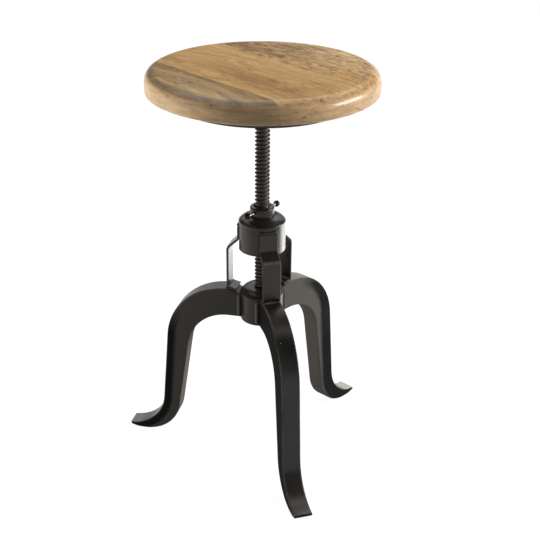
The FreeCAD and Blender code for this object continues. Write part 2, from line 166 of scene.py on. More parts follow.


# Legs
# Three forged iron bars with a high knee, a straight shin and a turned-up toe, welded to the lower hub.
# Their sides fall away softly to the outer face, and the black enamel is rubbed grey along the edges.
# On the right and left legs the side flats and inner faces are painted a lighter grey for the light
# that falls on them, which leaves a dark band along the outer face; root tops and toes are painted pale.
LEG_AZIMUTHS = {"front": -90.0, "right": 30.0, "left": 150.0}
LEG_WIDTH = 28.0
LEG_EDGE = 1.6
LEG_START = 19.0
LEG_STATIONS = 150
HUB_RADIUS = 33.0
ROOT_TOP = 274.5
ROOT_BOTTOM = 229.0
ROOT_SLOPE = 14.0
SLOPE_START = 46.0
COPE_END = 50.0
COPE_SINK = 0.4
ARC_POINTS = 25
CORNER_POINTS = 5
MOST_ROUNDED = 0.36  # of a bar's depth, for the radius of its edges
FACES_OUT = 0.69  # outward share of the normals that belong to the outer face
LEG_MARKS = (0.0, 0.3, 0.82, 1.0)  # shares of the stations at root, knee, ankle and toe
# Shares that dull each leg's side flats and paint them lighter for light falling on them; the front
# leg's third film colour is black, so its flats are only dulled.
FLAT_DULL_AND_LIT = {"front": 1.0, "right": 0.75, "left": 0.45}
# Depths below the outer face over which the dark band turns into the painted lighter flats, at knee and
# shin.
KNEE_DARK_BAND = {"front": (2.0, 4.0), "right": (10.0, 19.0), "left": (11.0, 16.0)}
SHIN_DARK_BAND = {"front": (2.0, 4.0), "right": (21.5, 27.0), "left": (11.0, 16.0)}
DARK_BAND_TURNS = (0.27, 0.42)  # shares of the stations where the knee's dark band ends and the shin's starts
DARK_BAND_STARTS = {"front": (0.0, 0.1), "right": (0.17, 0.27), "left": (0.34, 0.44)}
# Pale grey on the outer face at the root and on the toe: shoe wear and a painted highlight.
FACE_WEAR_AND_HIGHLIGHT = {"front": (0.0, 0.0), "right": (0.45, 1.0), "left": (0.2, 0.3)}
FACE_WEAR_AND_HIGHLIGHT_PLACES = (0.2, 0.3, 0.86, 0.95)
EDGE_WEAR = 0.3


def root_level(x):
    """Level of the sloping top of a leg's root at x from the axis: its top less the slope's fall."""
    return ROOT_TOP - (SLOPE_START - x) * math.tan(math.radians(ROOT_SLOPE))


LEG_OUTER = [  # corners as x, z and the radius of the bend
    (LEG_START, root_level(LEG_START), 0.0),
    (SLOPE_START, ROOT_TOP, 20.0),
    (142.5, ROOT_TOP, 98.0),
    (164.2, 14.2, 62.0),
    (219.5, 7.7, 0.0),
]
LEG_INNER = [
    (LEG_START, ROOT_BOTTOM, 0.0),
    (106.9, ROOT_BOTTOM, 66.0),
    (141.5, 0.0, 62.0),
    (207.0, 0.0, 20.0),
    (218.4, 3.3, 0.0),
]


def bent_line(corners):
    """Points (x, z) along straight runs joined by tangent arcs, and the length travelled at each corner.

    An arc of radius r in a corner of half angle h starts r / tan h from it and turns by pi - 2 h.
    """
    spots = np.array([corner[:2] for corner in corners], float)
    runs = [spots[:1]]
    counts = [1]
    for before, here, after, (_, _, radius) in zip(spots, spots[1:], spots[2:], corners[1:-1]):
        back = (before - here) / np.linalg.norm(before - here)
        ahead = (after - here) / np.linalg.norm(after - here)
        half = math.acos(float(back @ ahead)) / 2
        inward = (back + ahead) / np.linalg.norm(back + ahead)
        centre = here + inward * radius / math.sin(half)
        turn = np.linspace(half - math.pi / 2, math.pi / 2 - half, ARC_POINTS)[:, None]
        side = (ahead - back) / np.linalg.norm(ahead - back)
        runs.append(centre + radius * (np.sin(turn) * side - np.cos(turn) * inward))
        counts.append(ARC_POINTS)
    runs.append(spots[-1:])
    line = np.concatenate(runs)
    steps = np.linalg.norm(np.diff(line, axis=0), axis=1)
    travelled = np.concatenate([[0.0], np.cumsum(steps)])
    middles = np.cumsum([0, *counts])[:-1] + np.array([count // 2 for count in counts])
    return line, travelled, travelled[np.append(middles, len(line) - 1)]


def bar_section():
    """A rounded oblong once round, as four weights a point.

    They give a = ka (A - r) + na r across the depth and b = kb (B - r) + nb r across the width, where
    A and B are the half depth and half width and r the edge radius, so edges stay round as bars taper.
    """
    turn = np.linspace(0, math.pi / 2, CORNER_POINTS)
    face = np.array([-0.93, -0.6, -0.2, 0.2, 0.6, 0.93])
    side = np.array([0.93, 0.7, 0.45, 0.2, 0.0, -0.2, -0.4, -0.6, -0.8, -0.93])
    one = np.ones_like
    parts = [
        (one(face), one(face), face, 0 * face),
        (one(turn), np.cos(turn), one(turn), np.sin(turn)),
        (side, 0 * side, one(side), one(side)),
        (-one(turn), -np.sin(turn), one(turn), np.cos(turn)),
        (-one(face), -one(face), -face, 0 * face),
        (-one(turn), -np.cos(turn), -one(turn), -np.sin(turn)),
        (-side, 0 * side, -one(side), -one(side)),
        (one(turn), np.sin(turn), -one(turn), -np.cos(turn)),
    ]
    on_edge = [np.full(len(part[0]), i % 2, float) for i, part in enumerate(parts)]
    return [np.concatenate(column) for column in zip(*parts)], np.concatenate(on_edge)


def bar(outer, inner, width, edge):
    """A bar between an outer and an inner line of (x, z) points: the section carried from pair to pair.

    Returns points in millimetres on a grid, stations by section, whether each one lies on a rounded
    edge, how far it lies below the outer line and above the inner one, measured square to them, and
    which columns of the grid look outward.
    """
    (ka, na, kb, nb), on_edge = bar_section()
    across = outer - inner
    depth = np.linalg.norm(across, axis=1, keepdims=True)
    radius = np.minimum(edge, MOST_ROUNDED * depth)
    a = ka * (depth / 2 - radius) + na * radius
    b = kb * (width / 2 - radius) + nb * radius
    flat = (outer + inner)[:, None] / 2 + a[..., None] * (across / depth)[:, None]
    points = np.dstack([flat[..., 0], b, flat[..., 1]])
    below, above = (
        np.linalg.norm(flat[:, :, None] - line, axis=-1).min(axis=2) for line in (outer, inner)
    )
    outward = (na > FACES_OUT) & (np.roll(na, -1) > FACES_OUT)
    return points, np.broadcast_to(on_edge, a.shape), below, above, outward


def turned(points, degrees):
    """Points turned about the upright axis: x cos - y sin, x sin + y cos, z."""
    cos, sin = math.cos(math.radians(degrees)), math.sin(math.radians(degrees))
    x, y, z = np.moveaxis(points, -1, 0)
    return np.stack([x * cos - y * sin, x * sin + y * cos, z], -1)


def tube_piece(name, tubes, material, body, node, facing=None):
    """One object from closed tubes, each a capped grid of stations by section in millimetres.

    A tube is its points, its worn and highlighted share, its share dulled and painted lighter for light,
    and how many stations its seam climbs, as a screw's does. facing is a second material and the
    columns of a single tube that it covers. Points that coincide are merged.
    """
    merge = 0.002 * MM
    points, faces, start = [], [], 0
    for grid, _, _, climb in tubes:
        rows, columns = grid.shape[:2]
        index = start + np.arange(rows * columns).reshape(rows, columns)
        beside = np.roll(index, -1, axis=1)
        beside[:, -1] = index[np.minimum(np.arange(rows) + climb, rows - 1), 0]
        quads = np.stack([index[:-1], beside[:-1], beside[1:], index[1:]], -1)
        faces += quads.reshape(-1, 4).tolist()
        faces += [index[0].tolist(), index[-1][::-1].tolist()]
        points.append(grid.reshape(-1, 3) * MM)
        start += rows * columns
    mesh = bpy.data.meshes.new(name)
    mesh.from_pydata(np.concatenate(points).tolist(), [], faces)
    for column, label in ((1, "wear_and_highlight"), (2, "rubbed_and_lit")):
        values = [np.broadcast_to(tube[column], tube[0].shape[:2]).ravel() for tube in tubes]
        layer = mesh.attributes.new(label, "FLOAT", "POINT")
        layer.data.foreach_set("value", np.concatenate(values).astype(np.float32))
    mesh.materials.append(material)
    if facing:
        caps = 2
        index = np.zeros(len(mesh.polygons), np.int32)
        index[:-caps] = np.tile(facing[1], (len(index) - caps) // len(facing[1]))
        mesh.polygons.foreach_set("material_index", index)
        mesh.materials.append(facing[0])
    sculpt = bmesh.new()
    sculpt.from_mesh(mesh)
    bmesh.ops.remove_doubles(sculpt, verts=sculpt.verts, dist=merge)
    bmesh.ops.recalc_face_normals(sculpt, faces=sculpt.faces)
    sculpt.to_mesh(mesh)
    sculpt.free()
    mesh.polygons.foreach_set("use_smooth", np.ones(len(mesh.polygons), bool))
    piece = bpy.data.objects.new(name, mesh)
    bpy.context.scene.collection.objects.link(piece)
    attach(piece, body)
    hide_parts(node)


def leg_grid(side):
    """One leg along +X: outer and inner lines paired at root, knee, ankle and toe, coped to the hub.

    Its sides are dulled and painted lighter, for light that falls on them, by a smooth step between two
    depths below the outer face, from a place on the knee down, which leaves a dark band along the outer
    face; above that place they are painted lighter all over. The inner face is painted lightest, and
    the outer face is painted pale at its root and on the toe, as shoe wear and as a highlight. Coping
    moves x in proportion, from the start of the leg to the wall of the hub.
    """
    share = np.linspace(0, 1, LEG_STATIONS)
    lines = []
    for corners, keys in ((LEG_OUTER, [0, 2, 3, 4]), (LEG_INNER, [0, 1, 2, 4])):
        line, travelled, marks = bent_line(corners)
        here = np.interp(share, LEG_MARKS, marks[keys])
        lines.append(np.stack([np.interp(here, travelled, line[:, i]) for i in (0, 1)], -1))
    points, on_edge, below, above, outward = bar(*lines, LEG_WIDTH, LEG_EDGE)
    depths = zip(KNEE_DARK_BAND[side], SHIN_DARK_BAND[side])
    film, flat = (np.interp(share, DARK_BAND_TURNS, pair)[:, None] for pair in depths)
    step = np.clip((below - film) / (flat - film), 0, 1)
    band = np.interp(share, DARK_BAND_STARTS[side], (0.0, 1.0))[:, None]
    # The side flats are painted lighter for light falling on them, leaving the dark band along the outer
    # face.
    rubbed_and_lit = FLAT_DULL_AND_LIT[side] * (1 - (1 - step * step * (3 - 2 * step)) * band)
    # The outer face is painted pale at its root and toe, as shoe wear and as a highlight.
    root_pale, toe_pale = FACE_WEAR_AND_HIGHLIGHT[side]
    face_pale = np.interp(share, FACE_WEAR_AND_HIGHLIGHT_PLACES, (root_pale, 0.0, 0.0, toe_pale))[:, None]
    rubbed_and_lit = np.where(below < LEG_EDGE / 2, face_pale, rubbed_and_lit)
    # The inner face is painted lighter all over.
    rubbed_and_lit = np.where(above < LEG_EDGE / 2, 1.0, rubbed_and_lit)
    wall = np.sqrt(HUB_RADIUS**2 - points[..., 1] ** 2) - COPE_SINK
    x = points[..., 0]
    coped = COPE_END - (COPE_END - x) * (COPE_END - wall) / (COPE_END - LEG_START)
    points[..., 0] = np.where(x < COPE_END, coped, x)
    return points, EDGE_WEAR * on_edge, rubbed_and_lit, outward


leg_bare = "#8f8b83"
# Its third colour is the painted lighter grey of the flats and inner faces, for light falling on them.
leg_film_and_lit_flats = ("#090808", "#100f0e", "#65615b")
leg_enamel = black_enamel("leg_black_enamel", "wear_and_highlight", leg_film_and_lit_flats, leg_bare, gloss=0.3, level=0.04)
front_film = ("#0d0c0b", "#141210", "#0d0c0b")
front_enamel = black_enamel(
    "front_leg_black_enamel", "wear_and_highlight", front_film, leg_bare, gloss=0.34, level=0.06
)
# Its third colour is the pale grey of root tops and toes: shoe wear and painted highlight.
face_film_and_highlight = ("#181614", "#23201d", "#a29e95")
face_enamel = black_enamel(
    "leg_face_black_enamel", "wear_and_highlight", face_film_and_highlight, leg_bare, gloss=0.3, level=0.32
)
for side, azimuth in LEG_AZIMUTHS.items():
    leg_points, leg_wear, leg_dull_and_lit, leg_outward = leg_grid(side)
    tube = (turned(leg_points, azimuth), leg_wear, leg_dull_and_lit, 0)
    enamel = front_enamel if side == "front" else leg_enamel
    face = (face_enamel, leg_outward)
    tube_piece(side + "_leg", [tube], enamel, "base", "leg_" + side, face)


# Root welds
# Upright runs of weld in the corners between each leg and the lower hub, laid by hand in small steps.
# They are enamelled over with the base, so only their ripples show; their enamel is dulled and painted
# half way to a paler grey as a highlight along them.
ROOT_WELD_RADIUS = 4.2
ROOT_WELD_OUT = (0.9, 1.5)
ROOT_WELD_LEVELS = (ROOT_BOTTOM + 2.0, 268.0)
# Share of painted lighter grey on the root welds, as a highlight along them.
ROOT_WELD_PAINTED_LIGHT = 0.5
RIPPLE_SPACING = 3.2
RIPPLE_DEPTH = 0.22
BEAD_STATIONS = 90
BEAD_SIDES = 20


def bead(start, end, radius, ripple=RIPPLE_DEPTH):
    """A weld bead from start to end: a tube whose radius swells in ripples and closes at both ends.

    radius (1 - |2 s - 1|^8)^(1/2) plus ripple times |sin| of the ripple's phase, at s of its length,
    with no ripple where the bead is under half its radius.
    """
    tip = 0.02
    askew = [0.31, 0.52, 0.79]
    start, end = np.array(start, float), np.array(end, float)
    length = np.linalg.norm(end - start)
    along = (end - start) / length
    share = (1 - np.cos(np.linspace(0, math.pi, BEAD_STATIONS))) / 2
    swell = radius * np.sqrt(np.maximum(1 - np.abs(2 * share - 1) ** 8, tip**2))
    ripples = np.abs(np.sin(math.pi * share * length / RIPPLE_SPACING))
    swell = swell + ripple * ripples * (swell > 0.5 * radius)
    first = np.cross(along, askew)
    first = first / np.linalg.norm(first)
    second = np.cross(along, first)
    turn = np.linspace(0, 2 * math.pi, BEAD_SIDES, endpoint=False)
    ring = np.cos(turn)[:, None] * first + np.sin(turn)[:, None] * second
    return (start + share[:, None] * (end - start))[:, None] + swell[:, None, None] * ring[None]


root_corner = math.sqrt(HUB_RADIUS**2 - (LEG_WIDTH / 2) ** 2)
root_beads = []
for azimuth in LEG_AZIMUTHS.values():
    for hand in (1, -1):
        x = root_corner + ROOT_WELD_OUT[0]
        y = hand * (LEG_WIDTH / 2 + ROOT_WELD_OUT[1])
        low, high = ((x, y, level) for level in ROOT_WELD_LEVELS)
        run = bead(low, high, ROOT_WELD_RADIUS)
        root_beads.append((turned(run, azimuth), 0.0, ROOT_WELD_PAINTED_LIGHT, 0))
tube_piece("root_weld_beads", root_beads, leg_enamel, "base", "leg_root_welds")


# Straps
# Flat bars that brace the upper hub: each lies on the hub, steps out, drops and ends on a leg's root.
# Cold bent from rolled bar with eased edges, welded at both ends and enamelled with the base.
STRAP_WIDTH = 28.0
STRAP_THICKNESS = 3.5
STRAP_EDGE = 1.2
STRAP_SEAT = 31.7
STRAP_TOP = 381.0
STRAP_STEPS = {"front": (32.0, 10.0), "right": (22.0, 16.0), "left": (22.0, 16.0)}
STRAP_REACH = 52.2
STRAP_FOOT_END = 36.5
STRAP_BEND = 8.0
STRAP_FOOT_BEND = 5.0
STRAP_END_RUN = 3.5
STRAP_END_FALL = 2.2
STRAP_STATIONS = 130
STRAP_EDGE_WEAR = 0.12
CREASE_LENGTH = 1.8
CREASE_HIGHLIGHT_AND_WEAR = 1.4


def strap_grid(contact, joggle):
    """One strap along +X: the middle line of the bar, moved half its thickness to either side.

    Over the last run before the top end the outer face falls by the square of the distance left. The
    enamel is worn grey at the lower bend, and painted brighter there as the highlight the bend catches,
    by a bell curve of the distance from it.
    """
    half = STRAP_THICKNESS / 2
    rise = half / math.cos(math.radians(ROOT_SLOPE))
    upright = STRAP_REACH - half
    bend_top = STRAP_TOP - contact
    line, travelled, marks = bent_line(
        [
            (STRAP_SEAT + half, STRAP_TOP, 0.0),
            (STRAP_SEAT + half, bend_top, STRAP_BEND),
            (upright, bend_top - joggle, STRAP_BEND),
            (upright, root_level(upright) + rise, STRAP_FOOT_BEND),
            (STRAP_FOOT_END, root_level(STRAP_FOOT_END) + rise, 0.0),
        ]
    )
    here = np.linspace(0, travelled[-1], STRAP_STATIONS)
    middle = np.stack([np.interp(here, travelled, line[:, i]) for i in (0, 1)], -1)
    ahead = np.gradient(middle, axis=0)
    ahead = ahead / np.linalg.norm(ahead, axis=1, keepdims=True)
    outward = np.stack([-ahead[:, 1], ahead[:, 0]], -1)
    fall = STRAP_END_FALL * np.maximum(1 - here / STRAP_END_RUN, 0)[:, None] ** 2
    outer, inner = middle + (half - fall) * outward, middle - half * outward
    points, on_edge, *_ = bar(outer, inner, STRAP_WIDTH, STRAP_EDGE)
    # The lower bend is worn grey and painted brighter as the highlight it catches.
    crease = np.exp(-(((here - marks[2]) / CREASE_LENGTH) ** 2))[:, None]
    return points, np.maximum(STRAP_EDGE_WEAR * on_edge, CREASE_HIGHLIGHT_AND_WEAR * crease)


strap_film = ("#1d1a17", "#2b2723", "#36332f")
strap_enamel = black_enamel(
    "strap_black_enamel", "wear_and_highlight", strap_film, bare="#8b867e", gloss=0.24, level=0.36
)
for side, azimuth in LEG_AZIMUTHS.items():
    strap_points, strap_worn_and_highlit = strap_grid(*STRAP_STEPS[side])
    tube = (turned(strap_points, azimuth), strap_worn_and_highlit, 0.0, 0)
    name, node = side + "_strap", "strap_" + side
    tube_piece(name, [tube], strap_enamel, "base", node)


# Strap welds
# Short beads that close each strap's top end against the upper hub and its heel against the leg's root.
# They are smoothed a little and enamelled over.
BEAD_INSET = 0.8
HEAD_BEAD_SINK = 1.6
HEAD_BEAD_PLACE = (STRAP_SEAT + STRAP_THICKNESS - HEAD_BEAD_SINK, STRAP_TOP)
FOOT_BEAD_PLACE = (STRAP_REACH, root_level(STRAP_REACH - STRAP_THICKNESS))
STRAP_BEADS = {  # place, radius, ripple and wear, which on the foot also paints a highlight
    "head": (HEAD_BEAD_PLACE, 2.6, 0.1, 0.15),
    # The foot beads' wear is raised so that they show a painted highlight along them.
    "foot": (FOOT_BEAD_PLACE, 2.0, RIPPLE_DEPTH, 0.6),
}
for end, ((x, z), radius, ripple, wear_and_highlight) in STRAP_BEADS.items():
    reach = STRAP_WIDTH / 2 - BEAD_INSET
    run = bead((x, -reach, z), (x, reach, z), radius, ripple)
    runs = [(turned(run, azimuth), wear_and_highlight, 0.0, 0) for azimuth in LEG_AZIMUTHS.values()]
    name, node = f"strap_{end}_beads", f"strap_{end}_welds"
    tube_piece(name, runs, strap_enamel, "base", node)


# Upper hub and threaded bush
# A turned hub with a crowned shoulder, and in it a bush whose collar stands proud and whose bore is the
# nut. Both are black enamelled with the base and rubbed on their rims.
hub_film = ("#221f1b", "#302b26", "#3f3b35")
hub_enamel = black_enamel(
    "hub_black_enamel", "edges", hub_film, bare="#77726a", gloss=0.26, level=0.3
)
dress("upper_hub", hub_enamel)
dress("thread_bush", hub_enamel)


# Lock screws
# Two thin screws through the collar that stop the seat from winding down, left half out.
# Plated steel shanks that stay bright, with black slotted heads.
LOCK_AZIMUTHS = {"front": -147.0, "rear": 33.0}
LOCK_HEAD_START = 31.5


def lock_screw_steel(name, azimuth):
    """Bright plated steel that turns to blackened steel beyond the head's underside, along the screw.

    A wave's period is a turn over 20 times its scale, which gives the scale of the shank's ridges.
    """
    scuff_size = 1.1 * MM
    ridge_spacing, ridge_depth = 3.307 * MM, 0.2 * MM
    made, tree, shader = new_material(name)
    place = add(tree, "TexCoord").outputs["Object"]
    along = {0: place, 1: (math.cos(math.radians(azimuth)), math.sin(math.radians(azimuth)), 0.0)}
    reach = add(tree, "VectorMath", along, operation="DOT_PRODUCT").outputs["Value"]
    beyond = {0: reach, 1: LOCK_HEAD_START * MM}
    head = add(tree, "Math", beyond, operation="GREATER_THAN").outputs[0]
    speckled = {"Vector": place, "Scale": 1 / scuff_size, "Detail": 3.0}
    scuff = add(tree, "TexNoise", speckled).outputs["Fac"]
    plate, oxide = [(0.3, "#5f5b55"), (0.7, "#96928a")], [(0.4, "#141312"), (0.75, "#3a3835")]
    bright = add(tree, "ValToRGB", {"Fac": scuff}, stops=plate).outputs["Color"]
    black = add(tree, "ValToRGB", {"Fac": scuff}, stops=oxide).outputs["Color"]
    colour = add(tree, "Mix", {0: head, 6: bright, 7: black}, **TINT).outputs[2]
    limits = {"Value": scuff, 1: 0.3, 2: 0.7, 3: 0.22, 4: 0.38}
    polish = add(tree, "MapRange", limits).outputs["Result"]
    line = add(tree, "CombineXYZ", {"X": reach}).outputs[0]
    turns = {"Vector": line, "Scale": 2 * math.pi / (20 * ridge_spacing)}
    ridges = add(tree, "TexWave", turns).outputs["Fac"]
    relief = {"Height": ridges, "Strength": 0.4, "Distance": ridge_depth}
    normal = add(tree, "Bump", relief).outputs["Normal"]
    feed(tree, shader, {"Base Color": colour, "Roughness": polish, "Normal": normal})
    feed(tree, shader, {"Metallic": 1.0})
    return made


for side, azimuth in LOCK_AZIMUTHS.items():
    dress("lock_screw_" + side, lock_screw_steel("lock_steel_" + side, azimuth))


# Lifting screw
# A long right-hand screw with a rounded trapezoid thread, turned from bar and pinned in the seat's boss.
# Black oxide polished brown-grey on the crests by the nut; the crests are also painted paler as their
# highlight and the roots darker as their shade.
THREAD_RADIUS = 11.0
THREAD_DEPTH = 2.4
THREAD_PITCH = 6.0
THREAD_BASE = 4.2
THREAD_CREST = 0.8
THREAD_LOW = 225.5
THREAD_TURNS = 54
TURN_STATIONS = 14
NECK_RADIUS = 9.6
NECK_LAP = 1.0
NECK_TOP = 557.0
NECK_WEAR = 0.2
SCREW_SIDES = 48


def thread_grid():
    """The thread as rings that climb one pitch per turn, so that the ridge runs along the grid.

    At d from the middle of the ridge the radius is the root's plus the depth times a smooth step of d.
    Levels are held between the ends, which cuts the thread square there.
    """
    theta = np.linspace(0, 2 * math.pi, SCREW_SIDES, endpoint=False)
    stations = np.arange(-TURN_STATIONS, THREAD_TURNS * TURN_STATIONS + 1)
    climbed = stations[:, None] / TURN_STATIONS
    level = np.clip(climbed + theta / (2 * math.pi), 0, THREAD_TURNS)
    off = np.abs((level - theta / (2 * math.pi) + 0.5) % 1.0 - 0.5) * THREAD_PITCH
    rise = np.clip((THREAD_BASE / 2 - off) / (THREAD_BASE - THREAD_CREST) * 2, 0, 1)
    rise = rise * rise * (3 - 2 * rise)
    radius = THREAD_RADIUS - THREAD_DEPTH * (1 - rise)
    points = [radius * np.cos(theta), radius * np.sin(theta), THREAD_LOW + THREAD_PITCH * level]
    return np.dstack(points), rise


def round_bar(radius, low, high):
    """A plain upright cylinder as two rings of points."""
    theta = np.linspace(0, 2 * math.pi, SCREW_SIDES, endpoint=False)
    ring = np.stack([radius * np.cos(theta), radius * np.sin(theta), 0 * theta], -1)
    return np.stack([ring + (0, 0, low), ring + (0, 0, high)])


def black_oxide(name):
    """Oiled black oxide on steel: satin brown-grey, with crests polished and painted pale as a highlight
    and roots painted dark as shade.
    """
    mottle_size = 9 * MM
    grit_size, grit_depth = 0.9 * MM, 0.05 * MM
    made, tree, shader = new_material(name)
    place = add(tree, "TexCoord").outputs["Object"]
    crest = add(tree, "Attribute", attribute_name="wear_and_highlight").outputs["Fac"]
    mottle, grit = (
        add(tree, "TexNoise", {"Vector": place, "Scale": 1 / size, "Detail": detail}).outputs["Fac"]
        for size, detail in ((mottle_size, 4.0), (grit_size, 2.0))
    )
    limits = {"Value": mottle, 1: 0.3, 2: 0.7, 3: 0.25, 4: 0.8}
    rub = add(tree, "MapRange", limits).outputs["Result"]
    crest_polish_and_highlight = add(tree, "Math", {0: crest, 1: rub}, operation="MULTIPLY").outputs[0]
    # Dark roots painted as shade and pale crests painted as highlight, over the nut's polish.
    tones = [(0.0, "#151310"), (0.45, "#332f29"), (1.0, "#655e54")]
    colour = add(tree, "ValToRGB", {"Fac": crest_polish_and_highlight}, stops=tones).outputs["Color"]
    gloss = add(tree, "MapRange", {"Value": crest_polish_and_highlight, 3: 0.52, 4: 0.34}).outputs["Result"]
    relief = {"Height": grit, "Strength": 0.4, "Distance": grit_depth}
    normal = add(tree, "Bump", relief).outputs["Normal"]
    feed(tree, shader, {"Base Color": colour, "Roughness": gloss, "Normal": normal})
    return made


screw_oxide = black_oxide("screw_black_oxide")
thread_points, thread_crest = thread_grid()
neck = round_bar(NECK_RADIUS, THREAD_LOW + THREAD_PITCH * THREAD_TURNS - NECK_LAP, NECK_TOP)
screw_tubes = [(thread_points, thread_crest, 0.0, TURN_STATIONS), (neck, NECK_WEAR, 0.0, 0)]
tube_piece("screw_thread", screw_tubes, screw_oxide, "seat", "lifting_screw")


# End bolt and stop washer
# A shoulder bolt in the screw's lower end that carries a loose washer, which stops the screw at the top.
# Zinc plated steel, dull grey.


def plated_steel(name):
    """Zinc plate: pale blue-grey metal with a soft spangle and fine handling scratches."""
    spangle_size = 2.5 * MM
    scratch_size, scratch_depth = 0.8 * MM, 0.03 * MM
    made, tree, shader = new_material(name)
    place = add(tree, "TexCoord").outputs["Object"]
    cells = {"Vector": place, "Scale": 1 / spangle_size}
    spangle = add(tree, "TexVoronoi", cells).outputs["Color"]
    lightness = add(tree, "SeparateColor", {"Color": spangle}).outputs["Red"]
    tones = [(0.0, "#8f9092"), (1.0, "#b3b4b4")]
    colour = add(tree, "ValToRGB", {"Fac": lightness}, stops=tones).outputs["Color"]
    scratches = {"Vector": place, "Scale": 1 / scratch_size, "Detail": 4.0}
    scratch = add(tree, "TexNoise", scratches).outputs["Fac"]
    limits = {"Value": scratch, 1: 0.3, 2: 0.7, 3: 0.3, 4: 0.46}
    gloss = add(tree, "MapRange", limits).outputs["Result"]
    relief = {"Height": scratch, "Strength": 0.3, "Distance": scratch_depth}
    normal = add(tree, "Bump", relief).outputs["Normal"]
    feed(tree, shader, {"Base Color": colour, "Roughness": gloss, "Normal": normal})
    feed(tree, shader, {"Metallic": 1.0})
    return made


zinc = plated_steel("zinc_plated_steel")
dress("end_bolt", zinc)
dress("stop_washer", zinc)


# Seat frame
# A hoop of flat bar on edge with crossed bars and a turned boss, welded up and enamelled black.
# A zinc plated pin holds the screw in the boss, and plated wood screws hold the frame to the boards.
FRAME_BARS = ("seat_hoop", "cross_bar", "side_bar_front", "side_bar_rear")
for node in (*FRAME_BARS, "seat_boss", "seat_frame_welds"):
    dress(node, hub_enamel)
for node in ("boss_pin", "wood_screws"):
    dress(node, zinc)


# Seat boards
# Three boards of mango wood glued edge to edge and turned to one round slab with a full round-over.
# Sanded, oiled and lacquered to a soft sheen; the boards differ as their logs did.
GRAIN_ANGLE = -65.0
SEAT_RADIUS = 165.0
RIM_STARTS = 159.0
RIM_SHARE = 0.88  # of the turned edge's own colour over the board's
# Where the top is painted darker, as shade, just inside the turned edge.
RIM_SHADE_RING = (RIM_STARTS - 9.0, RIM_STARTS - 1.0)
TURNED_EDGE = (RIM_STARTS, SEAT_RADIUS - 1.0)
KNOT_COLOUR = "#5a4229"
PORE_COLOUR = "#4a3722"
SMOOTH = {"interpolation_type": "SMOOTHSTEP"}
SHADE = {**TINT, "blend_type": "MULTIPLY"}


def grain(tree, place, size, detail, rough, limits):
    """Noise drawn out to cells of a size in millimetres, passed through a smooth step.

    limits are the values of the noise where the step starts and ends, and what it gives there.
    """
    scale = tuple(1 / (edge * MM) for edge in size)
    drawn = add(tree, "Mapping", {"Vector": place, "Scale": scale}).outputs["Vector"]
    cells = {"Vector": drawn, "Scale": 1.0, "Detail": detail, "Roughness": rough}
    noise = add(tree, "TexNoise", cells).outputs["Fac"]
    step = {"Value": noise, **dict(enumerate(limits, 1))}
    return add(tree, "MapRange", step, **SMOOTH).outputs["Result"]


